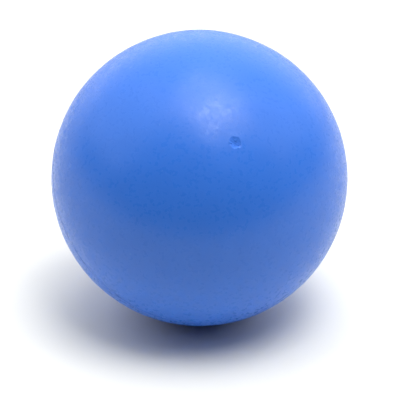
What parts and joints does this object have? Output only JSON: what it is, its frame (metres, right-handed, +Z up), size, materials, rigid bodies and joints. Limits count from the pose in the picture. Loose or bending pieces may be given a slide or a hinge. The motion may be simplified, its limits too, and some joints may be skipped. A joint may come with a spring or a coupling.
{
  "type": "bouncy ball",
  "caption": "Plain bouncy ball: satin blue rubber cover halves, lapped and cemented along a hairline seam over a solid high-rebound rubber core, with a small torn gate scar.",
  "frame": {"origin": "centre of the ball", "axes": "+Z up as the ball lies on a level floor; the front half's gate scar faces -Y, tilted up; +X to the right when looking along +Y"},
  "size_m": [0.065, 0.065, 0.065],
  "materials": {
    "cover_rubber": "satin",
    "core_rubber": "matte",
    "rubber_cement": "satin"
  },
  "bodies": {
    "root": {"core": "core_rubber", "cement_film": "rubber_cement", "front_cover": "cover_rubber", "rear_cover": "cover_rubber"}
  },
  "joints": []
}
